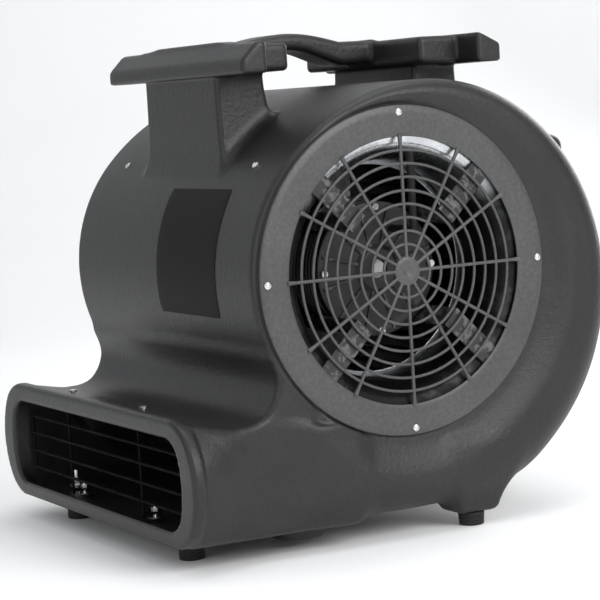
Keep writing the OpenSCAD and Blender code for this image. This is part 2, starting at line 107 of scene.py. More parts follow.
# Grilles, wheel and guard.
SIDES = (("right", False), ("left", True))
BAR_X = SEAT_X + 3.6 * MM
BAR_RISE = 3 * MM
HOOPS, SPOKES, OPENING_R = 8, 12, 135 * MM
CONE_LO, CONE_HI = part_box("inlet_cone_right")
RIM_LO, RIM_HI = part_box("wheel_end_ring_right")
BLADE_R1 = (RIM_HI[2] - RIM_LO[2]) / 2 - 2 * MM
BLADE_R0 = BLADE_R1 - 18 * MM
WHEEL_X = RIM_HI[0]
BLADES = 36
GUARD_LO, GUARD_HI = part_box("outlet_guard")
GUARD_Y = -246 * MM
UPRIGHT_Y = GUARD_Y + 2.8 * MM
GUARD_WIRES_Z = (56 * MM, 75 * MM, 95 * MM, 114 * MM)
GUARD_END_X, POST_X = 196 * MM, 91 * MM

# Camera and stage.
CAMERA_PLACE = (1.9943, -1.0913, 0.4469)
CAMERA_AZIMUTH, CAMERA_ELEVATION, CAMERA_ROLL = 61.27, 5.43, -3.48
CAMERA_LENS = 124.6
MIDDLE = (0.0, 0.0, 0.28)


# ---------------------------------------------------------------- distance fields

def smooth(t):
    u = np.clip(t, 0.0, 1.0)
    return u * u * (3 - 2 * u)


def blend_union(a, b, k):
    """Union of two distance fields with a fillet of about k."""
    h = np.clip(0.5 + 0.5 * (b - a) / k, 0.0, 1.0)
    return b + (a - b) * h - k * h * (1 - h)


def blend_cut(a, b, k):
    """Field a with field b removed, and a rounded edge of about k."""
    return -blend_union(-a, b, k)


def round_and(parts, r):
    """Intersection of slabs, given as distances, with edges rounded to radius r."""
    grown = [p + r for p in parts]
    outside = np.sqrt(sum(np.maximum(g, 0.0) ** 2 for g in grown))
    inside = np.minimum(np.maximum.reduce(grown), 0.0)
    return outside + inside - r


def box_field(x, y, z, lo, hi, r):
    return round_and([lo[0] - x, x - hi[0], lo[1] - y, y - hi[1], lo[2] - z, z - hi[2]], r)


def growth(angle_deg):
    """How far the scroll has grown, 0 to 1, at an angle about the fan axis."""
    return smooth((GROWTH_START - angle_deg) / GROWTH_SPAN)


def rolled_disc(x, radius, z, share, inset):
    """A disc about the fan axis with rolled rims; share is how far the scroll has grown."""
    outline = SCROLL_R0 + SCROLL_GROWTH * share - inset
    rim = (9 + 25 * share) * MM
    swell = (radius - RING_R) / np.maximum(outline - RING_R, 12 * MM)
    side = SIDE_X + (SIDE_MAX - SIDE_X) * smooth(2.2 * swell) * share ** 0.5 - inset
    radial = np.maximum(radius - outline, -0.2)
    low = BELLY_Z + inset - z
    radial = -blend_union(-radial, -low, 34 * MM)
    along = np.abs(x) - side
    grown_r = np.maximum(radial + rim, 0.0)
    grown_x = np.maximum(along + rim, 0.0)
    inner = np.minimum(np.maximum(radial, along) + rim, 0.0)
    return np.sqrt(grown_r ** 2 + grown_x ** 2) + inner - rim


def scroll_field(x, y, z, inset):
    """The scroll: a circle at the front that grows over the top and round the rear to the duct."""
    dy, dz = y - HUB_Y, z - HUB_Z
    radius = np.hypot(dy, dz)
    circle = rolled_disc(x, radius, z, 0.0, inset)
    spiral = rolled_disc(x, radius, z, growth(np.degrees(np.arctan2(dz, dy))), inset)
    cutoff = np.where((dz > 0) | (dy > 0), -1.0, z - CUTOFF_Z + inset)
    return np.minimum(circle, np.maximum(spiral, cutoff))


def barrel_half_width(z, corner, bulge, z0, z1):
    """Half the width of a barrel shape, widest half way up."""
    middle, half = (z0 + z1) / 2, (z1 - z0) / 2
    return corner + (bulge - corner) * (1 - np.abs(np.clip((z - middle) / half, -1.2, 1.2)) ** 2.2)


def duct_merge(y):
    """How far the duct's sides have come in from the lip to the scroll's sides."""
    return smooth((y - FRONT_Y - 10 * MM) / (95 * MM))


def duct_half_width(y, z):
    """Half the duct's width: the lip's outline at the front, the scroll's further back."""
    merge = duct_merge(y)
    corner = LIP_X - 2 * MM + (SIDE_X - LIP_X + 2 * MM) * merge
    bulge = LIP_BULGE_X - 5 * MM + (SIDE_X - LIP_BULGE_X + 5 * MM) * merge
    return barrel_half_width(z, corner, bulge, BELLY_Z, LIP_Z)


def duct_field(x, y, z):
    """The outlet duct outside, with the raised lip around its mouth."""
    back = np.clip((y - FRONT_Y) / (90 * MM), 0.0, 2.0)
    roof = LIP_Z - 3 * MM - 13 * MM * smooth(back) - 4 * MM * np.maximum(back - 1, 0)
    sides = np.abs(x) - duct_half_width(y, z)
    body = round_and([sides, z - roof, BELLY_Z - z, FRONT_Y + 6 * MM - y, y + 60 * MM], 9 * MM)
    lip_half = barrel_half_width(z, LIP_X, LIP_BULGE_X, BELLY_Z, LIP_Z)
    flat = round_and([np.abs(x) - lip_half, z - LIP_Z, BELLY_Z - z], 19 * MM)
    lip = round_and([flat, FRONT_Y - y, y - FRONT_Y - LIP_DEPTH], 4.5 * MM)
    return blend_union(body, lip, 2 * MM)


def cove_field(x, y, z):
    """The large hollow curve that leads from the duct's roof up to the front of the scroll."""
    roof, sweep = LIP_Z - 18 * MM, 46 * MM
    cz = roof + sweep
    reach = SCROLL_R0 + sweep
    cy = HUB_Y - math.sqrt(reach ** 2 - (HUB_Z - cz) ** 2)
    top = HUB_Z + (cz - HUB_Z) * SCROLL_R0 / reach
    half = duct_half_width(y, roof)
    return round_and([sweep - np.hypot(y - cy, z - cz), cy - y, z - top - 4 * MM, y + 110 * MM,
                      roof - 20 * MM - z, np.abs(x) - half], 8 * MM)


def duct_hollow(x, y, z):
    """The air's way out, narrowest at the mouth's corners."""
    back = np.clip((y - FRONT_Y) / (18 * MM), 0.0, 1.0)
    width = barrel_half_width(z, MOUTH_X, MOUTH_BULGE_X - 4 * MM * back, MOUTH_Z0, MOUTH_Z1)
    floor = MOUTH_Z0 - 9 * MM * smooth(back)
    roof = MOUTH_Z1 + 3 * MM * smooth(back) - 9 * MM * smooth((y - FRONT_Y) / (110 * MM))
    return round_and([np.abs(x) - width, z - roof, floor - z, y + 75 * MM], 15 * MM)


def neck_field(x, y, z, y0, y1, flare_front, flare_rear):
    """A pedestal under the deck that widens as it comes down onto the scroll."""
    drop = np.clip((DECK_LO[2] - z) / NECK_DROP, 0.0, 1.2)
    half = NECK_X + 4 * MM * drop ** 2
    return round_and([np.abs(x) - half, y0 - flare_front * drop ** 2 - y,
                      y - y1 - flare_rear * drop ** 2, z - DECK_LO[2] - 6 * MM,
                      380 * MM - z], 5 * MM)


def control_box_field(x, y, z):
    """The box that carries the control panel, sloped above, in front and below."""
    top_slope = z - 403 * MM + (y - 226 * MM) * 0.34
    front_slope = -(y - 150 * MM) * 0.6 + (z - 396 * MM) * 0.45
    under_slope = (y - REAR_Y) * 0.92 - (z - 305 * MM) * 0.32
    return round_and([np.abs(x) - CONTROL_X, y - REAR_Y + 0.6 * MM, top_slope, under_slope,
                      front_slope - 30 * MM, 150 * MM - y, 262 * MM - z], 9 * MM)


def foot_block_field(x, y, z):
    """Pads that carry the rear feet, drawn out upwards and backwards."""
    rise = np.clip((z - 14 * MM) / (50 * MM), 0.0, 1.5)
    return round_and([179 * MM - x, x - SIDE_X - 1.5 * MM,
                      REAR_FOOT_Y - 22 * MM - 8 * MM * rise - y,
                      y - REAR_FOOT_Y - 25 * MM - 26 * MM * rise, 14 * MM - z, z - 90 * MM], 6 * MM)


def housing_field(x, y, z):
    """The moulded housing's outside, without the handle deck."""
    ax = np.abs(x)
    body = scroll_field(x, y, z, 0.0)
    body = blend_union(body, neck_field(x, y, z, *FRONT_NECK_Y, 0.0, 26 * MM), 15 * MM)
    body = blend_union(body, neck_field(x, y, z, *REAR_NECK_Y, 22 * MM, 12 * MM), 15 * MM)
    body = blend_union(body, duct_field(x, y, z), 22 * MM)
    body = blend_union(body, cove_field(x, y, z), 12 * MM)
    widening = (SIDE_MAX - SIDE_X) * smooth((y + 165 * MM) / (105 * MM))
    cap = ax - duct_half_width(y, z) - widening
    beside_duct = (y < -60 * MM) & (y > FRONT_Y + LIP_DEPTH)
    body = np.where(beside_duct, blend_cut(body, -cap, 3 * MM), body)
    body = blend_union(body, control_box_field(x, y, z), 16 * MM)
    body = blend_union(body, foot_block_field(ax, y, z), 16 * MM)
    from_boss = np.hypot(ax - FRONT_BOSS_X, y - FRONT_BOSS_Y)
    boss = round_and([from_boss - FRONT_BOSS_R, 10 * MM - z, z - 40 * MM], 4 * MM)
    body = blend_union(body, boss, 5 * MM)
    return np.maximum(body, ax - SHELL_HI[0] + 0.3 * MM)


def ring_seat_field(x, y, z):
    """The flat seat that each grille ring stands on."""
    radius = np.hypot(y - HUB_Y, z - HUB_Z)
    return round_and([radius - RING_R - 1.6 * MM, SEAT_X - np.abs(x)], 0.4 * MM)


def hollow_field(x, y, z, outer):
    """Everything cut out of the moulding: fan chamber, duct, mouth and inlets."""
    radius = np.hypot(y - HUB_Y, z - HUB_Z)
    chamber = scroll_field(x, y, z, WALL)
    tongue = box_field(x, y, z, TONGUE_LO, TONGUE_HI, 2 * MM)
    chamber = blend_cut(chamber, tongue, 3 * MM)
    duct = duct_hollow(x, y, z)
    cavity = np.maximum(blend_union(chamber, duct, 4 * MM), outer + WALL + 1 * MM)
    mouth = np.maximum(duct, y - FRONT_Y - 40 * MM)
    inlet = round_and([radius - INLET_R, 0.15 - np.abs(x)], 1 * MM)
    return np.minimum(np.minimum(cavity, mouth), inlet)


def panel_recess_field(x, y, z):
    lo, hi = (-RECESS_X, PANEL_LO[1], RECESS_Z[0]), (RECESS_X, 0.3, RECESS_Z[1])
    return box_field(x, y, z, lo, hi, 2.5 * MM)


def shell_field(x, y, z):
    """The hollow housing, with its seats, inlets, mouth and panel recess cut."""
    outer = housing_field(x, y, z)
    shell = blend_cut(outer, ring_seat_field(x, y, z), 1 * MM)
    shell = blend_cut(shell, panel_recess_field(x, y, z), 4 * MM)
    return blend_cut(shell, hollow_field(x, y, z, outer), 3 * MM)


# ---------------------------------------------------------------- handle deck field

def wing_field(x, y, z, outer_y, inner_y, run, rise):
    """One end slab, with vertical ends and a bevel along its outer edge."""
    toward = math.copysign(1.0, inner_y - outer_y)
    outside = toward * (outer_y - y)
    slope = (outside * rise + (z - DECK_TOP + rise) * run) / math.hypot(run, rise)
    return round_and([np.abs(x) - WING_X, outside, toward * (y - inner_y), DECK_LO[2] - z,
                      z - DECK_TOP, slope], 3.0 * MM)


def block_field(x, y, z, y0, y1):
    """A block between a wing and the hand gap."""
    return round_and([np.abs(x) - BLOCK_X, y0 - y, y - y1, DECK_LO[2] + 2 * MM - z,
                      z - DECK_TOP + 1.5 * MM], 5 * MM)


def grip_field(x, y, z):
    """An arched grip, thinner at its crown than where it meets the rear block."""
    along = np.clip((y + 72 * MM) / (130 * MM), 0.0, 1.0)
    top = DECK_TOP + GRIP_ARCH * np.sin(math.pi * along)
    to_rear, to_front = smooth(y / (56 * MM)), smooth((-20 * MM - y) / (40 * MM))
    thick = 18 * MM + 7 * MM * to_rear - 2 * MM * to_front
    return round_and([np.abs(x) - GRIP_X, z - top, top - thick - z, -74 * MM - y,
                      y - 104 * MM], 7 * MM)


def deck_field(x, y, z):
    """Two end slabs, two blocks, the grip between them and a raised pad at the front."""
    ax = np.abs(x)
    deck = wing_field(x, y, z, DECK_Y0, FRONT_WING_IN, 18 * MM, 18 * MM)
    deck = np.minimum(deck, wing_field(x, y, z, DECK_Y1, REAR_WING_IN, 26 * MM, 13 * MM))
    blocks = np.minimum(block_field(x, y, z, -114 * MM, GAP_Y0),
                        block_field(x, y, z, GAP_Y1, 150 * MM))
    deck = blend_union(deck, blocks, 2.5 * MM)
    deck = blend_union(deck, grip_field(x, y, z), 8 * MM)
    crown = DECK_TOP + 3.5 * MM * smooth((107 * MM - ax) / (43 * MM))
    raised = round_and([ax - 112 * MM, -118 * MM - y, y + 96 * MM, z - crown,
                        DECK_LO[2] + 5 * MM - z], 3 * MM)
    return blend_union(deck, raised, 4 * MM)


def moulding_field(x, y, z):
    return blend_union(shell_field(x, y, z), deck_field(x, y, z), 2.5 * MM)


# ---------------------------------------------------------------- meshes

def link_mesh(mesh, material):
    """A smooth-shaded object around a mesh, with one material."""
    mesh.materials.append(material)
    mesh.polygons.foreach_set("use_smooth", [True] * len(mesh.polygons))
    obj = bpy.data.objects.new(mesh.name, mesh)
    bpy.context.scene.collection.objects.link(obj)
    return obj


def new_object(name, verts, faces, material):
    mesh = bpy.data.meshes.new(name)
    mesh.from_pydata([tuple(v) for v in verts], [], [tuple(f) for f in faces])
    mesh.update()
    return link_mesh(mesh, material)


def from_bmesh(name, bm, material):
    mesh = bpy.data.meshes.new(name)
    bm.to_mesh(mesh)
    bm.free()
    return link_mesh(mesh, material)


def field_mesh(field, lo, hi, step):
    """Quads on a field's zero surface, pulled onto it by a few Newton steps."""
    lo = np.array(lo) - 3 * step
    counts = np.ceil((np.array(hi) + 3 * step - lo) / step).astype(int) + 1
    axes = [lo[i] + step * np.arange(counts[i]) for i in range(3)]
    values = np.empty(counts, dtype=np.float32)
    for i, x in enumerate(axes[0]):
        y, z = np.meshgrid(axes[1], axes[2], indexing="ij")
        values[i] = field(np.full_like(y, x), y, z)
    grid = openvdb.FloatGrid(4 * step)
    grid.copyFromArray(np.clip(values, -4 * step, 4 * step))
    points, quads = grid.convertToQuads(isovalue=0.0)
    points = np.array(points, dtype=np.float64) * step + lo
    for _ in range(3):
        eps = 0.2 * MM
        x, y, z = points.T
        here = field(x, y, z)
        slope = np.stack([field(x + eps, y, z) - here, field(x, y + eps, z) - here,
                          field(x, y, z + eps) - here], axis=1) / eps
        size = np.maximum((slope ** 2).sum(axis=1), 0.25)
        move = slope * (here / size)[:, None]
        length = np.linalg.norm(move, axis=1, keepdims=True)
        points -= move * np.minimum(1.0, 0.4 * step / np.maximum(length, 1e-9))
    return points, np.array(quads)[:, ::-1]


# ---------------------------------------------------------------- materials

def node_material(name):
    material = bpy.data.materials.new(name)
    material.use_nodes = True
    tree = material.node_tree
    tree.nodes.clear()
    out = tree.nodes.new("ShaderNodeOutputMaterial")
    shader = tree.nodes.new("ShaderNodeBsdfPrincipled")
    tree.links.new(shader.outputs["BSDF"], out.inputs["Surface"])
    return material, tree, shader


def add(tree, kind, **settings):
    node = tree.nodes.new(kind)
    for key, value in settings.items():
        setattr(node, key, value)
    return node


def noise(tree, coords, scale, detail=4.0, rough=0.55, stretch=(1, 1, 1)):
    mapping = add(tree, "ShaderNodeMapping")
    mapping.inputs["Scale"].default_value = stretch
    tree.links.new(coords, mapping.inputs["Vector"])
    node = add(tree, "ShaderNodeTexNoise")
    node.inputs["Scale"].default_value = scale
    node.inputs["Detail"].default_value = detail
    node.inputs["Roughness"].default_value = rough
    tree.links.new(mapping.outputs["Vector"], node.inputs["Vector"])
    return node.outputs["Fac"]


def ramp(tree, factor, stops):
    node = add(tree, "ShaderNodeValToRGB")
    elements = node.color_ramp.elements
    while len(elements) < len(stops):
        elements.new(0.5)
    for element, (place, value) in zip(elements, stops):
        element.position = place
        element.color = value if len(value) == 4 else (*value, 1.0)
    tree.links.new(factor, node.inputs["Fac"])
    return node.outputs["Color"]


def grey(v, tint=0.0):
    return (v, v, v * (1 + tint), 1.0)


def mix_color(tree, factor, a, b, mode="MIX"):
    node = add(tree, "ShaderNodeMix", data_type="RGBA", blend_type=mode)
    if isinstance(factor, float):
        node.inputs[0].default_value = factor
    else:
        tree.links.new(factor, node.inputs[0])
    for socket, value in ((node.inputs[6], a), (node.inputs[7], b)):
        if isinstance(value, tuple):
            socket.default_value = value
        else:
            tree.links.new(value, socket)
    return node.outputs[2]


def maths(tree, operation, a, b=0.0):
    node = add(tree, "ShaderNodeMath", operation=operation)
    for socket, value in ((node.inputs[0], a), (node.inputs[1], b)):
        if isinstance(value, (int, float)):
            socket.default_value = value
        else:
            tree.links.new(value, socket)
    return node.outputs[0]


def bump(tree, shader, height, strength, distance, under=None):
    node = add(tree, "ShaderNodeBump")
    node.inputs["Strength"].default_value = strength
    node.inputs["Distance"].default_value = distance
    tree.links.new(height, node.inputs["Height"])
    if under is not None:
        tree.links.new(under, node.inputs["Normal"])
    tree.links.new(node.outputs["Normal"], shader.inputs["Normal"])
    return node.outputs["Normal"]


def moulded_plastic(name, dark, light, rough_lo, rough_hi, grain, grain_depth, wear=0.5,
                    specular=0.5):
    """Textured moulded plastic: mottled colour, fine grain, scuffed edges and thin scratches."""
    material, tree, shader = node_material(name)
    coords = add(tree, "ShaderNodeTexCoord").outputs["Object"]
    cloudy = noise(tree, coords, 9.0, 5.0, 0.6)
    fine = noise(tree, coords, 260.0, 3.0, 0.6)
    base = ramp(tree, cloudy, [(0.3, grey(dark)), (0.7, grey(light))])
    specks = ramp(tree, fine, [(0.42, grey(0.86)), (0.62, grey(1.12))])
    base = mix_color(tree, 1.0, base, specks, "MULTIPLY")
    edge = add(tree, "ShaderNodeNewGeometry").outputs["Pointiness"]
    edge_mask = ramp(tree, edge, [(0.53, grey(0.0)), (0.60, grey(1.0))])
    broken = ramp(tree, noise(tree, coords, 60.0, 6.0, 0.7), [(0.45, grey(0.0)), (0.62, grey(1.0))])
    worn = maths(tree, "MULTIPLY", maths(tree, "MULTIPLY", edge_mask, broken), wear)
    scratch = noise(tree, coords, 34.0, 2.0, 0.5, (1.0, 14.0, 0.7))
    scratch_mask = ramp(tree, scratch, [(0.682, grey(0.0)), (0.694, grey(1.0)), (0.706, grey(0.0))])
    scratch_worn = maths(tree, "MULTIPLY", scratch_mask, 0.35 * wear)
    total = maths(tree, "MAXIMUM", worn, scratch_worn)
    base = mix_color(tree, total, base, grey(min(1.0, light * 2.6)))
    tree.links.new(base, shader.inputs["Base Color"])
    rough = add(tree, "ShaderNodeMapRange")
    rough.inputs["To Min"].default_value = rough_lo
    rough.inputs["To Max"].default_value = rough_hi
    tree.links.new(cloudy, rough.inputs["Value"])
    tree.links.new(rough.outputs["Result"], shader.inputs["Roughness"])
    shader.inputs["Specular IOR Level"].default_value = specular
    peel = noise(tree, coords, grain * 0.35, 2.0, 0.5)
    first = bump(tree, shader, peel, 0.5, grain_depth * 1.6)
    bump(tree, shader, noise(tree, coords, grain, 3.0, 0.7), 0.75, grain_depth, first)
    return material


def brushed_metal(name, color, rough, direction, stain, scale, spangle=0.0):
    """Bare metal with drawn lines along direction, dull patches and, if asked, zinc spangle."""
    material, tree, shader = node_material(name)
    coords = add(tree, "ShaderNodeTexCoord").outputs["Object"]
    lines = noise(tree, coords, scale, 4.0, 0.6, direction)
    patches = noise(tree, coords, 22.0, 5.0, 0.65)
    dull = tuple(c * (1 - stain) for c in color)
    base = ramp(tree, patches, [(0.35, dull), (0.65, color)])
    if spangle:
        cells = add(tree, "ShaderNodeTexVoronoi")
        cells.inputs["Scale"].default_value = 90.0
        tree.links.new(coords, cells.inputs["Vector"])
        tone = ramp(tree, cells.outputs["Color"],
                    [(0.2, grey(1 - spangle)), (0.8, grey(1 + spangle))])
        base = mix_color(tree, 1.0, base, tone, "MULTIPLY")
    tree.links.new(base, shader.inputs["Base Color"])
    shader.inputs["Metallic"].default_value = 1.0
    spread = add(tree, "ShaderNodeMapRange")
    spread.inputs["To Min"].default_value = rough - 0.08
    spread.inputs["To Max"].default_value = rough + 0.15
    tree.links.new(lines, spread.inputs["Value"])
    tree.links.new(spread.outputs["Result"], shader.inputs["Roughness"])
    bump(tree, shader, lines, 0.25, 0.00008)
    return material


def painted(name, color, rough, chip=0.3, specular=0.5):
    """Paint or enamel with a little dust, chipped along its edges."""
    material, tree, shader = node_material(name)
    shader.inputs["Specular IOR Level"].default_value = specular
    coords = add(tree, "ShaderNodeTexCoord").outputs["Object"]
    dust = noise(tree, coords, 35.0, 6.0, 0.7)
    dusty = tuple(min(1, c * 1.7 + 0.01) for c in color)
    base = ramp(tree, dust, [(0.35, color), (0.75, dusty)])
    edge = add(tree, "ShaderNodeNewGeometry").outputs["Pointiness"]
    mask = maths(tree, "MULTIPLY", ramp(tree, edge, [(0.54, grey(0.0)), (0.62, grey(1.0))]),
                 ramp(tree, noise(tree, coords, 120.0), [(0.5, grey(0.0)), (0.6, grey(1.0))]))
    base = mix_color(tree, maths(tree, "MULTIPLY", mask, chip), base, grey(0.35))
    tree.links.new(base, shader.inputs["Base Color"])
    spread = add(tree, "ShaderNodeMapRange")
    spread.inputs["To Min"].default_value = rough - 0.1
    spread.inputs["To Max"].default_value = rough + 0.12
    tree.links.new(dust, spread.inputs["Value"])
    tree.links.new(spread.outputs["Result"], shader.inputs["Roughness"])
    bump(tree, shader, noise(tree, coords, 500.0, 3.0, 0.6), 0.4, 0.0001)
    return material


def copper_winding(name):
    material, tree, shader = node_material(name)
    coords = add(tree, "ShaderNodeTexCoord").outputs["Object"]
    wave = add(tree, "ShaderNodeTexWave", wave_type="RINGS", rings_direction="X")
    wave.inputs["Scale"].default_value = 160.0
    wave.inputs["Distortion"].default_value = 2.5
    tree.links.new(coords, wave.inputs["Vector"])
    base = ramp(tree, wave.outputs["Fac"], [(0.2, (0.16, 0.05, 0.02)), (0.8, (0.62, 0.27, 0.11))])
    tree.links.new(base, shader.inputs["Base Color"])
    shader.inputs["Metallic"].default_value = 0.8
    shader.inputs["Roughness"].default_value = 0.35
    bump(tree, shader, wave.outputs["Fac"], 0.8, 0.0006)
    return material


SHELL = moulded_plastic("charcoal_polyethylene", 0.010, 0.017, 0.34, 0.48, grain=520.0,
                        grain_depth=0.00045, specular=0.45)
GRILLE = moulded_plastic("grey_nylon", 0.052, 0.068, 0.36, 0.50, grain=1400.0,
                         grain_depth=0.00006, wear=0.35)
PANEL = moulded_plastic("black_panel_plastic", 0.014, 0.020, 0.40, 0.55, grain=1800.0,
                        grain_depth=0.00006)
LABEL = moulded_plastic("blank_label_film", 0.004, 0.005, 0.46, 0.56, grain=500.0,
                        grain_depth=0.00004, wear=0.3, specular=0.12)
RUBBER = moulded_plastic("black_rubber", 0.010, 0.018, 0.62, 0.82, grain=1500.0,
                         grain_depth=0.00008, wear=0.25, specular=0.35)
CAPACITOR = moulded_plastic("capacitor_plastic", 0.14, 0.18, 0.3, 0.45, grain=1500.0,
                            grain_depth=0.00004)
RED = painted("red_button_plastic", (0.42, 0.02, 0.014), 0.35, chip=0.0)
ZINC = brushed_metal("zinc_plate", (0.82, 0.82, 0.80), 0.24, (1, 1, 1), 0.15, 300.0)
GALVANISED = brushed_metal("galvanised_sheet", (0.40, 0.415, 0.43), 0.27, (1, 6, 6), 0.35, 60.0,
                           0.12)
DULL_STEEL = brushed_metal("dull_steel", (0.16, 0.16, 0.165), 0.42, (1, 6, 6), 0.35, 60.0, 0.1)
TURNED = brushed_metal("turned_steel", (0.58, 0.58, 0.58), 0.25, (30, 1, 1), 0.2, 60.0)
LAMINATION = brushed_metal("laminated_steel", (0.30, 0.30, 0.31), 0.45, (40, 1, 1), 0.3, 60.0)
CAST = painted("motor_bell_paint", (0.009, 0.009, 0.0095), 0.5)
ENAMEL = painted("black_enamel", (0.010, 0.010, 0.011), 0.38)
WIRE_COAT = painted("black_wire_coat", (0.003, 0.003, 0.003), 0.80, chip=0.0, specular=0.05)
COPPER = copper_winding("copper_winding")
BELL_MOUTH = brushed_metal("bell_mouth_sheet", (0.62, 0.64, 0.66), 0.24, (1, 6, 6), 0.35, 60.0, 0.1)


def add_painted_shade(material, lit_z, shaded_z):
    """Painted shade: a near-black colour blended over the lower part of a piece, broken up by noise,
    with a rougher surface there.
    """
    tree = material.node_tree
    shader = tree.nodes["Principled BSDF"]
    coords = add(tree, "ShaderNodeTexCoord").outputs["Object"]
    split = add(tree, "ShaderNodeSeparateXYZ")
    tree.links.new(coords, split.inputs["Vector"])
    height = add(tree, "ShaderNodeMapRange")
    height.inputs["From Min"].default_value = shaded_z
    height.inputs["From Max"].default_value = lit_z
    tree.links.new(split.outputs["Z"], height.inputs["Value"])
    patchy = maths(tree, "MULTIPLY_ADD", noise(tree, coords, 30.0, 5.0, 0.7), 0.5)
    patchy.node.inputs[2].default_value = -0.25
    lit_share = add(tree, "ShaderNodeMath", operation="ADD", use_clamp=True)
    tree.links.new(height.outputs["Result"], lit_share.inputs[0])
    tree.links.new(patchy, lit_share.inputs[1])
    under = shader.inputs["Base Color"].links[0].from_socket
    # Painted shade: near-black mixed into the colour where the piece lies low.
    colour = mix_color(tree, lit_share.outputs[0], grey(0.022), under)
    tree.links.new(colour, shader.inputs["Base Color"])
    rough = shader.inputs["Roughness"].links[0].from_socket
    dull = maths(tree, "MULTIPLY", maths(tree, "SUBTRACT", 1.0, lit_share.outputs[0]), 0.3)
    tree.links.new(maths(tree, "ADD", rough, dull), shader.inputs["Roughness"])


# Painted shade: the bell mouth is darkened below about 62 mm above the hub, so only its top arc stays
# bright.
add_painted_shade(BELL_MOUTH, lit_z=HUB_Z + 108 * MM, shaded_z=HUB_Z + 62 * MM)

CAD_MATERIALS = (
    (SHELL, ("housing_shell", "handle_deck")),
    (GRILLE, ("grille_right", "grille_left")),
    (GALVANISED, ("inlet_cone_right", "inlet_cone_left", "wheel_blades_right", "wheel_blades_left",
                  "wheel_end_ring_right", "wheel_end_ring_left", "capacitor_clamp",
                  "inner_brace")),
    (DULL_STEEL, ("wheel_center_plate",)),
    (TURNED, ("wheel_hub", "motor_shaft", "motor_bearing_front", "motor_bearing_rear",
              "switch_shaft")),
    (LAMINATION, ("motor_rotor", "motor_stator")),
    (COPPER, ("motor_windings",)),
    (ENAMEL, ("motor_can", "motor_band", "motor_mount_arms")),
    (CAST, ("motor_front_bell", "motor_rear_bell")),
    (CAPACITOR, ("run_capacitor",)),
    (ZINC, ("hub_set_screw", "motor_through_bolts", "mount_bolts", "brace_screws", "guard_screws",
            "foot_bolts", "foot_nuts", "panel_screws", "grille_screws_right",
            "grille_screws_left")),
    (WIRE_COAT, ("outlet_guard",)),
    (RUBBER, ("motor_lead", "foot_front_right", "foot_front_left", "foot_rear_right",
              "foot_rear_left")),
    (PANEL, ("control_panel", "speed_switch", "speed_knob", "reset_breaker", "cord_gland",
             "gland_nut")),
    (RED, ("reset_button",)),
    (LABEL, ("label_plate",)),
)


def dress_cad_nodes():
    for material, names in CAD_MATERIALS:
        for name in names:
            obj = frame["nodes"][name]
            if not obj.material_slots:
                obj.data.materials.append(material)
            for slot in obj.material_slots:
                slot.material = material


# ---------------------------------------------------------------- pieces

def make_housing():
    """Housing and handle deck, which are one moulding."""
    top_corner = (SHELL_HI[0], SHELL_HI[1], DECK_HI[2])
    points, quads = field_mesh(moulding_field, SHELL_LO, top_corner, VOXEL)
    housing = new_object("moulded_housing", points, quads, SHELL)
    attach(housing, "housing")
    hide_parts("housing_shell", "handle_deck")


def fillet(points, radius, steps=4):
    """Corners of a closed outline rounded off."""
    out = []
    count = len(points)
    for i in range(count):
        here = Vector(points[i])
        before, after = Vector(points[i - 1]), Vector(points[(i + 1) % count])
        to_before, to_after = (before - here), (after - here)
        reach = min(radius, to_before.length * 0.45, to_after.length * 0.45)
        start, end = here + to_before.normalized() * reach, here + to_after.normalized() * reach
        for k in range(steps + 1):
            t = k / steps
            out.append(tuple((1 - t) ** 2 * start + 2 * t * (1 - t) * here + t ** 2 * end))
    return out


def polar(x, r, a, t=0.0):
    """A point at radius r and angle a about the fan axis, then moved t square to its radius."""
    return (x, HUB_Y + r * math.cos(a) - t * math.sin(a),
            HUB_Z + r * math.sin(a) + t * math.cos(a))


class Build:
    """Vertices and faces of one piece, gathered part by part."""

    def __init__(self):
        self.verts, self.faces = [], []

    def loft(self, loops, closed=False, caps=False):
        """Skin over loops of equal length; closed joins the last loop to the first."""
        first, size = len(self.verts), len(loops[0])
        for loop in loops:
            self.verts.extend(loop)
        rows = len(loops) if closed else len(loops) - 1
        for i in range(rows):
            here, there = first + i * size, first + ((i + 1) % len(loops)) * size
            for j in range(size):
                k = (j + 1) % size
                self.faces.append((here + j, here + k, there + k, there + j))
        if caps:
            last = first + (len(loops) - 1) * size
            self.faces.append(tuple(first + j for j in reversed(range(size))))
            self.faces.append(tuple(last + j for j in range(size)))

    def lathe(self, outline, segments=96):
        """A closed (x, radius) outline revolved about the fan axis."""
        loops = []
        for i in range(segments):
            a = 2 * math.pi * i / segments
            loops.append([polar(x, r, a) for x, r in outline])
        self.loft(loops, closed=True)

    def finish(self, name, material, body, replaced, slot, mirror=False, angle=35.0):
        verts = [(-x, y, z) for x, y, z in self.verts] if mirror else self.verts
        bm = bmesh.new()
        points = [bm.verts.new(v) for v in verts]
        for face in self.faces:
            bm.faces.new([points[i] for i in face])
        bmesh.ops.recalc_face_normals(bm, faces=bm.faces)
        for edge in bm.edges:
            if len(edge.link_faces) == 2 and edge.calc_face_angle(0.0) > math.radians(angle):
                edge.smooth = False
        obj = from_bmesh(name, bm, material)
        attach(obj, body)
        if replaced:
            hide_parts(*replaced)
        return obj


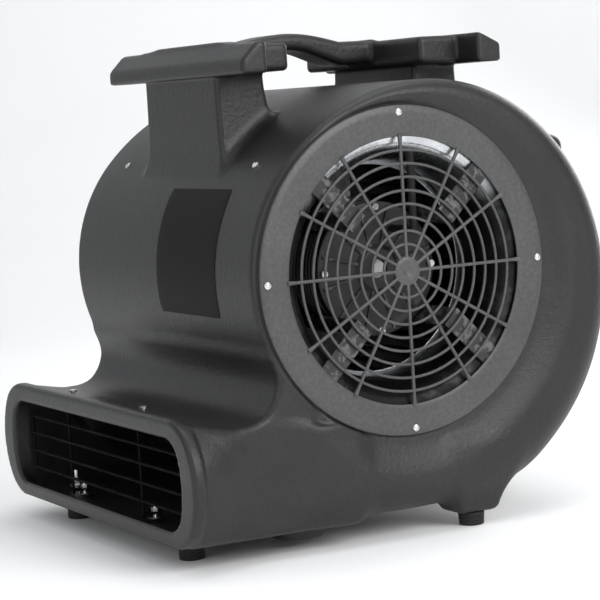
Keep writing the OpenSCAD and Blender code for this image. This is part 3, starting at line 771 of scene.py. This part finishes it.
def grille_parts():
    """The right grille: a raised ring, round hoops, straight spokes and a dished hub."""
    build = Build()
    inner, outer = 148 * MM, RING_R - 0.3 * MM
    ring = [(SEAT_X, inner), (SEAT_X, outer), (SEAT_X + 4.0 * MM, outer),
            (SEAT_X + 5.0 * MM, 163 * MM), (SEAT_X + 5.5 * MM, 160 * MM),
            (SEAT_X + 5.5 * MM, 138.5 * MM), (SEAT_X + 4.6 * MM, OPENING_R),
            (BAR_X - 0.6 * MM, OPENING_R), (BAR_X - 0.6 * MM, inner)]
    build.lathe(fillet(ring, 1.1 * MM, 3), 144)
    for i in range(1, HOOPS + 1):
        r = OPENING_R * (i + 1) / (HOOPS + 2)
        section = [(BAR_X, r - 1.5 * MM), (BAR_X, r + 1.5 * MM), (BAR_X + 2.2 * MM, r + 1.4 * MM),
                   (BAR_X + 2.2 * MM, r - 1.4 * MM)]
        build.lathe(fillet(section, 0.9 * MM, 3), 36 + 8 * i)
    for i in range(SPOKES):
        a = 2 * math.pi * i / SPOKES
        loops = []
        for r in (12 * MM, 60 * MM, 128 * MM, 137 * MM):
            half = (1.8 if r < 130 * MM else 2.6) * MM
            section = [(BAR_X, -half), (BAR_X, half), (BAR_X + BAR_RISE, half * 0.85),
                       (BAR_X + BAR_RISE, -half * 0.85)]
            loops.append([polar(x, r, a, t) for x, t in fillet(section, 1.0 * MM, 3)])
        build.loft(loops, caps=True)
    hub = [(BAR_X - 0.5 * MM, 0.2 * MM), (BAR_X - 0.5 * MM, 15 * MM), (BAR_X + 2.6 * MM, 14.6 * MM),
           (BAR_X + 3.5 * MM, 11 * MM), (BAR_X + 3.1 * MM, 5 * MM), (BAR_X + 2.2 * MM, 3.6 * MM),
           (BAR_X + 2.1 * MM, 0.2 * MM)]
    build.lathe(fillet(hub, 0.8 * MM, 2), 48)
    return build


def make_grilles():
    for side, mirror in SIDES:
        grille_parts().finish("grille_moulding_" + side, GRILLE, "housing", ["grille_" + side],
                              "grey_grille", mirror)


def screw_head(build, place, axis, up, radius, height):
    """A domed head with a cross recess, set along axis at place."""
    axis, up = Vector(axis).normalized(), Vector(up).normalized()
    across = axis.cross(up)
    rings = [0.0, 0.08, 0.16, 0.24, 0.32, 0.4, 0.48, 0.56, 0.64, 0.74, 0.84, 0.92, 0.98, 1.0, 1.0]
    last = len(rings) - 1
    segments = 40
    arm, width = 0.56, 0.15
    loops = []
    for k, share in enumerate(rings):
        loop = []
        for j in range(segments):
            a = 2 * math.pi * j / segments
            u, v = share * math.cos(a), share * math.sin(a)
            dome = height * math.sqrt(max(0.0, 1 - 0.86 * share ** 2)) if k < last else 0.0
            inside = max(0.0, 1 - abs(v) / width) if abs(u) < arm else 0.0
            inside = max(inside, max(0.0, 1 - abs(u) / width) if abs(v) < arm else 0.0)
            dome -= height * 0.45 * min(1.0, 2.2 * inside)
            point = Vector(place) + (across * u + up * v) * radius + axis * dome
            loop.append(tuple(point))
        loops.append(loop)
    build.loft(loops[1:], caps=True)


def make_grille_screws():
    screw_r = RING_R - 7.5 * MM
    for side, sign in (("right", 1), ("left", -1)):
        build = Build()
        for i in range(4):
            a = math.pi / 2 * i
            x, y, z = polar(SEAT_X + 5.4 * MM, screw_r, a)
            turn = a + 0.4 + 0.9 * i
            screw_head(build, (sign * x, y, z), (sign, 0, 0),
                       (0, math.cos(turn), math.sin(turn)), 3.7 * MM, 2.2 * MM)
        build.finish("grille_screw_heads_" + side, ZINC, "housing", ["grille_screws_" + side],
                     "zinc_fastener")


def box_section(cx, cy, hx, hy, radius):
    """A rounded rectangle about (cx, cy), with half sides hx and hy."""
    corners = [(cx - hx, cy - hy), (cx + hx, cy - hy), (cx + hx, cy + hy), (cx - hx, cy + hy)]
    return fillet(corners, radius, 3)


def make_inlet_cones():
    """Spun bell mouths: a bolted flange, a rolled bell and a short throat."""
    for side, mirror in SIDES:
        build = Build()
        top, low, out = CONE_HI[0] - 0.1 * MM, CONE_LO[0] + 0.1 * MM, 155.6 * MM
        bell = [(top - 1 * MM - 46 * MM * (1 - math.cos(a)), 112 * MM + 20 * MM * (1 - math.sin(a)))
                for a in np.linspace(0.02, math.pi / 2, 16)]
        inner = [(top, out), (top, 134 * MM)] + bell + [(low, 112.1 * MM)]
        back = [(low, 114.4 * MM)]
        back += [(x - 0.9 * MM, r + 1.5 * MM) for x, r in reversed(bell[2:])]
        back += [(top - 1.8 * MM, 136 * MM), (top - 1.8 * MM, out)]
        build.lathe(inner + back, 128)
        build.finish("bell_mouth_" + side, BELL_MOUTH, "housing", ["inlet_cone_" + side],
                     "galvanised_sheet", mirror, 50)


def make_wheel():
    """Squirrel-cage rotor: thin curved blades between a centre plate and rolled end rings."""
    for side, mirror in SIDES:
        build = Build()
        steps = 9
        for i in range(BLADES):
            turn = 2 * math.pi * i / BLADES
            front, rear = [], []
            for k in range(steps):
                t = k / (steps - 1)
                r = BLADE_R0 + (BLADE_R1 - BLADE_R0) * t
                bow = 7 * MM * math.sin(math.pi * t)
                front.append((r, bow + 0.05 * MM))
                rear.append((r, bow + 0.85 * MM))
            section = front + rear[::-1]
            loops = []
            for x in (1.2 * MM, WHEEL_X * 0.5, WHEEL_X - 3.1 * MM):
                loops.append([polar(x, r, turn, t) for r, t in section])
            build.loft(loops, caps=True)
        build.finish("blade_cage_" + side, GALVANISED, "rotor", ["wheel_blades_" + side],
                     "galvanised_sheet", mirror)
        x0, x1 = WHEEL_X - 2.9 * MM, WHEEL_X - 0.1 * MM
        r0, r1 = BLADE_R0 - 1.9 * MM, BLADE_R1 + 1.9 * MM
        rim = Build()
        rim.lathe(fillet([(x0, r0), (x1, r0), (x1, r1), (x0, r1)], 1.2 * MM, 4), 128)
        rim.finish("rolled_rim_" + side, GALVANISED, "rotor", ["wheel_end_ring_" + side],
                   "galvanised_sheet", mirror)


def make_motor_shell():
    """The can with its crimped seams and cooling ribs, and a ribbed bell on each end."""
    lo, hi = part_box("motor_can")
    radius = (hi[2] - lo[2]) / 2 - 0.1 * MM
    x0, x1 = lo[0], hi[0]
    outline = [(x0 + 0.2 * MM, radius - 3.9 * MM), (x0 + 0.2 * MM, radius - 0.6 * MM)]
    for x in np.arange(x0 + 8 * MM, x1 - 8 * MM, 6 * MM):
        outline += [(x, radius), (x + 3 * MM, radius), (x + 3.8 * MM, radius - 1.4 * MM),
                    (x + 5.2 * MM, radius - 1.4 * MM)]
    outline += [(x1 - 0.2 * MM, radius - 0.6 * MM), (x1 - 0.2 * MM, radius - 3.9 * MM)]
    build = Build()
    build.lathe(outline, 96)
    build.finish("ribbed_can", ENAMEL, "housing", ["motor_can"], "black_motor_paint")
    for name, sign, face in (("motor_front_bell", -1, x0), ("motor_rear_bell", 1, x1)):
        low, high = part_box(name)
        tip = low[0] if sign < 0 else high[0]
        build = Build()
        out = abs(tip - face)
        dish = [(face + sign * 0.1 * MM, 10 * MM), (face + sign * 0.1 * MM, radius - 0.2 * MM),
                (face + sign * 3 * MM, radius - 0.2 * MM), (face + sign * 4.2 * MM, radius - 6 * MM),
                (face + sign * 3.2 * MM, radius - 12 * MM), (face + sign * 3.6 * MM, 26 * MM),
                (face + sign * (out - 0.6 * MM), 21 * MM), (face + sign * (out - 0.1 * MM), 18.6 * MM),
                (face + sign * (out - 0.1 * MM), 10 * MM)]
        build.lathe(fillet(dish, 1.2 * MM, 3), 96)
        for i in range(12):
            a = 2 * math.pi * (i + 0.5) / 12
            loops = []
            for r in (20 * MM, radius - 4 * MM):
                section = box_section(face + sign * 3.0 * MM, 0.0, 2.6 * MM, 1.6 * MM, 0.8 * MM)
                loops.append([polar(x, r, a, t) for x, t in section])
            build.loft(loops, caps=True)
        build.finish("ribbed_" + name, CAST, "housing", [name], "cast_bell")


def make_feet():
    """Turned rubber feet with two grooves and a dished bolt pocket."""
    for name in ("foot_front_right", "foot_front_left", "foot_rear_right", "foot_rear_left"):
        lo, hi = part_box(name)
        cx, cy = (lo[0] + hi[0]) / 2, (lo[1] + hi[1]) / 2
        radius, top = (hi[0] - lo[0]) / 2 - 0.05 * MM, hi[2] - lo[2]
        side = [(radius * share, height * top) for share, height in (
            (0.95, 0.28), (0.91, 0.33), (0.95, 0.38), (0.97, 0.55), (0.93, 0.60), (0.98, 0.65),
            (1.0, 0.90), (0.97, 1.0))]
        pocket = [(4.2 * MM, top), (4.2 * MM, 4.5 * MM), (8 * MM, 3.5 * MM), (8 * MM, 0.6 * MM),
                  (9 * MM, 0.0)]
        build = Build()
        section = fillet([(radius * 0.86, 0.0), (radius * 0.94, 1.2 * MM)] + side + pocket,
                         0.5 * MM, 2)
        loops = []
        for i in range(56):
            a = 2 * math.pi * i / 56
            loops.append([(cx + r * math.cos(a), cy + r * math.sin(a), lo[2] + z) for r, z in section])
        build.loft(loops, closed=True)
        build.finish("rubber_" + name, RUBBER, "housing", [name], "black_rubber")


def make_brace_screws():
    """The two heads that show on the scroll, above the duct."""
    build = Build()
    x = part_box("brace_screws")[1][0] - 4 * MM
    a = math.radians(138.0)
    for sign in (-1, 1):
        screw_head(build, polar(sign * x, SCROLL_R0 + 0.1 * MM, a),
                   (0, math.cos(a), math.sin(a)), (1, 0.2 * sign, 0.2 * sign), 3.8 * MM, 2.3 * MM)
    build.finish("brace_screw_heads", ZINC, "housing", ["brace_screws"], "zinc_fastener")


def rod(build, start, end, radius, sides=14):
    """A round wire with blunted ends."""
    start, end = Vector(start), Vector(end)
    axis = (end - start).normalized()
    side = axis.orthogonal().normalized()
    up = axis.cross(side)
    loops = []
    for place, r in ((start, 0.55), (start + axis * radius * 0.4, 0.9), (start + axis * radius, 1.0),
                     (end - axis * radius, 1.0), (end - axis * radius * 0.4, 0.9), (end, 0.55)):
        loops.append([tuple(place + (side * math.cos(a) + up * math.sin(a)) * radius * r)
                      for a in np.linspace(0, 2 * math.pi, sides, endpoint=False)])
    build.loft(loops, caps=True)


def plate(build, lo, hi, radius):
    """A flat bar lying in XY with softened edges."""
    section = box_section((lo[0] + hi[0]) / 2, (lo[2] + hi[2]) / 2, (hi[0] - lo[0]) / 2,
                          (hi[2] - lo[2]) / 2, radius)
    build.loft([[(x, y, z) for x, z in section] for y in (lo[1], hi[1])], caps=True)


def make_guard():
    """Four wires across the mouth, four uprights behind them, and tabs to roof and floor."""
    wire_r, tab = 1.5 * MM, 1.6 * MM
    build = Build()
    for z in GUARD_WIRES_Z:
        rod(build, (GUARD_LO[0] + 0.2 * MM, GUARD_Y, z), (GUARD_HI[0] - 0.2 * MM, GUARD_Y, z), wire_r)
    for x in (-GUARD_END_X, GUARD_END_X):
        rod(build, (x, UPRIGHT_Y, GUARD_WIRES_Z[0]), (x, UPRIGHT_Y, GUARD_WIRES_Z[-1]), wire_r)
    for x in (-POST_X, POST_X):
        rod(build, (x, UPRIGHT_Y, GUARD_LO[2] + 0.2 * MM), (x, UPRIGHT_Y, MOUTH_Z1 + 0.9 * MM),
            wire_r)
        for half, depth, z in ((6 * MM, 16 * MM, MOUTH_Z1), (5 * MM, 22 * MM, MOUTH_Z0)):
            plate(build, (x - half, GUARD_Y + 1 * MM, z), (x + half, GUARD_Y + depth, z + tab),
                  0.6 * MM)
    build.finish("welded_wire_guard", WIRE_COAT, "housing", ["outlet_guard"], "black_wire_coat")


def make_label():
    """A blank film that follows the scroll, with rounded corners and a bevelled edge."""
    lo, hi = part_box("label_plate")
    x0, x1 = lo[0] + 0.2 * MM, hi[0] - 0.2 * MM
    a0, a1 = 147.7, 192.2
    columns, rows = 24, 40
    corner = 0.05
    verts, faces = [], []
    for layer, lift in ((0, 0.08 * MM), (1, 0.62 * MM)):
        for i in range(rows + 1):
            for j in range(columns + 1):
                u, v = j / columns, i / rows
                a = math.radians(a0 + (a1 - a0) * v)
                edge = min(u, 1 - u) / corner, min(v, 1 - v) / (corner * 1.1)
                du = (1 - min(1.0, edge[0])) * (1 - min(1.0, edge[1])) * 0.016
                du *= 1 if u < 0.5 else -1
                x = x0 + (x1 - x0) * (u + du)
                r = SCROLL_R0 + lift - (0.2 * MM if layer and min(edge) < 0.02 else 0.0)
                verts.append(polar(x, r, a))
    size = (rows + 1) * (columns + 1)

    def at(layer, i, j):
        return layer * size + i * (columns + 1) + j

    for i in range(rows):
        for j in range(columns):
            faces.append((at(0, i, j), at(0, i, j + 1), at(0, i + 1, j + 1), at(0, i + 1, j)))
            faces.append((at(1, i, j), at(1, i + 1, j), at(1, i + 1, j + 1), at(1, i, j + 1)))
    for i in range(rows):
        for j in (0, columns):
            faces.append((at(0, i, j), at(0, i + 1, j), at(1, i + 1, j), at(1, i, j)))
    for j in range(columns):
        for i in (0, rows):
            faces.append((at(0, i, j), at(0, i, j + 1), at(1, i, j + 1), at(1, i, j)))
    build = Build()
    build.verts, build.faces = verts, faces
    build.finish("blank_label", LABEL, "housing", ["label_plate"], "label_film")


def make_painted_shadow_rings():
    """Painted shadow: a black rubber ring under the edge of each grille that draws the dark line
    between grille and seat.
    """
    for side, mirror in SIDES:
        build = Build()
        x0, x1 = SEAT_X - 2 * MM, SEAT_X + 1.0 * MM
        r0, r1 = RING_R - 1.2 * MM, RING_R + 1.35 * MM
        build.lathe(fillet([(x0, r0), (x0, r1), (x1, r1), (x1, r0)], 0.7 * MM, 3), 144)
        build.finish("grille_shadow_ring_" + side, RUBBER, "housing", [], "black_rubber", mirror)


def make_panel_fittings():
    """Cross-head screws in the panel's corners, and a fluted knob with a pointer groove."""
    lo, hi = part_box("panel_screws")
    build = Build()
    corners = [(x, z) for z in (lo[2] + 3 * MM, hi[2] - 3 * MM)
               for x in (lo[0] + 3 * MM, hi[0] - 3 * MM)]
    for i, (x, z) in enumerate(corners):
        turn = 0.5 + 0.7 * i
        screw_head(build, (x, PANEL_HI[1] + 0.05 * MM, z), (0, 1, 0),
                   (math.cos(turn), 0, math.sin(turn)), 2.6 * MM, hi[1] - PANEL_HI[1] - 0.1 * MM)
    build.finish("panel_screw_heads", ZINC, "housing", ["panel_screws"], "zinc_fastener")
    lo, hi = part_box("speed_knob")
    cx, cz = joint_place("speed_knob_turn")[::2]
    radius = min(hi[0] - cx, hi[2] - cz, cx - lo[0], cz - lo[2])
    depth = hi[1] - lo[1]
    build = Build()
    loops = []
    segments, flutes = 112, 14
    profile = ((0.3, 0.0, 0), (0.97, 0.0, 0), (1.0, 0.05, 0), (1.0, 0.13, 0), (0.90, 0.17, 0.4),
               (0.88, 0.22, 1), (0.85, 0.80, 1), (0.80, 0.93, 0.7), (0.72, 0.985, 0),
               (0.60, 1.0, 0), (0.55, 0.95, 0), (0.06, 0.95, 0))
    for share, along, flute in profile:
        loop = []
        for j in range(segments):
            a = 2 * math.pi * j / segments
            r = radius * share * (1 - 0.07 * flute * (0.5 + 0.5 * math.cos(flutes * a)))
            on_top = share > 0.5 and along > 0.9
            groove = on_top and abs(math.sin(a / 2 - math.pi / 4)) < 0.045
            y = lo[1] + depth * along - (0.8 * MM if groove else 0.0)
            loop.append((cx + r * math.cos(a), y, cz + r * math.sin(a)))
        loops.append(loop)
    build.loft(loops, caps=True)
    build.finish("fluted_knob", PANEL, "knob", ["speed_knob"], "black_plastic")


# ---------------------------------------------------------------- stage

def make_stage():
    """White paper that runs under the part and curves up behind it, square to the camera."""
    half, back, height = 6.0, 3.0, 4.0
    bend = [(back - 1.0 + math.sin(a), FLOOR_Z + 1.0 - math.cos(a))
            for a in np.linspace(0, math.pi / 2, 12)]
    profile = [(-half, FLOOR_Z)] + bend + [(back, height)]
    turn = Matrix.Rotation(math.radians(61.3), 3, "Z")
    verts, faces = [], []
    for y, z in profile:
        for x in (-half, half):
            verts.append(tuple(turn @ Vector((x, y, z))))
    for i in range(len(profile) - 1):
        faces.append((2 * i, 2 * i + 1, 2 * i + 3, 2 * i + 2))
    material, tree, shader = node_material("studio_paper")
    coords = add(tree, "ShaderNodeTexCoord").outputs["Object"]
    tone = ramp(tree, noise(tree, coords, 3.0), [(0.3, grey(0.97)), (0.7, grey(0.99))])
    tree.links.new(tone, shader.inputs["Base Color"])
    shader.inputs["Roughness"].default_value = 0.9
    new_object("floor", verts, faces, material)


def area_light(name, place, size, power):
    """A rectangular light that faces the middle of the part."""
    data = bpy.data.lights.new(name, "AREA")
    data.shape = "RECTANGLE"
    data.size, data.size_y = size
    data.energy = power
    light = bpy.data.objects.new(name, data)
    light.location = place
    light.rotation_euler = (Vector(MIDDLE) - Vector(place)).to_track_quat("-Z", "Y").to_euler()
    bpy.context.scene.collection.objects.link(light)


def make_lights():
    world = bpy.data.worlds.new("studio")
    world.use_nodes = True
    background = world.node_tree.nodes["Background"]
    background.inputs["Color"].default_value = (0.95, 0.97, 1.0, 1.0)
    background.inputs["Strength"].default_value = 0.50
    bpy.context.scene.view_settings.view_transform = "Standard"
    bpy.context.scene.world = world
    area_light("key", (0.9, -1.9, 2.2), (1.6, 1.2), 6.0)
    area_light("front", (1.15, -2.3, 0.75), (0.6, 1.3), 9.0)
    area_light("side", (2.4, 0.6, 1.5), (1.4, 1.4), 46.0)
    area_light("top", (0.1, 0.3, 2.6), (1.8, 1.8), 22.0)
    area_light("rear", (-0.9, 2.3, 0.95), (1.5, 1.5), 26.0)


def make_camera():
    """The camera stands a little above the outlet's right, and is rolled a few degrees."""
    data = bpy.data.cameras.new("camera")
    data.sensor_width = 36.0
    data.lens = CAMERA_LENS
    data.clip_end = 50.0
    azimuth, elevation = math.radians(CAMERA_AZIMUTH), math.radians(CAMERA_ELEVATION)
    roll = math.radians(CAMERA_ROLL)
    back = Vector((math.sin(azimuth) * math.cos(elevation), -math.cos(azimuth) * math.cos(elevation),
                   math.sin(elevation)))
    right = (-back).cross(Vector((0, 0, 1))).normalized()
    up = right.cross(-back)
    across = math.cos(roll) * right + math.sin(roll) * up
    above = -math.sin(roll) * right + math.cos(roll) * up
    camera = bpy.data.objects.new("camera", data)
    matrix = Matrix((across, above, back)).transposed().to_4x4()
    matrix.translation = Vector(CAMERA_PLACE)
    camera.matrix_world = matrix
    bpy.context.scene.collection.objects.link(camera)
    bpy.context.scene.camera = camera


make_camera()
make_stage()
make_lights()
dress_cad_nodes()
make_housing()
make_grilles()
make_grille_screws()
make_inlet_cones()
make_wheel()
make_motor_shell()
make_feet()
make_brace_screws()
make_guard()
make_label()
make_painted_shadow_rings()
make_panel_fittings()
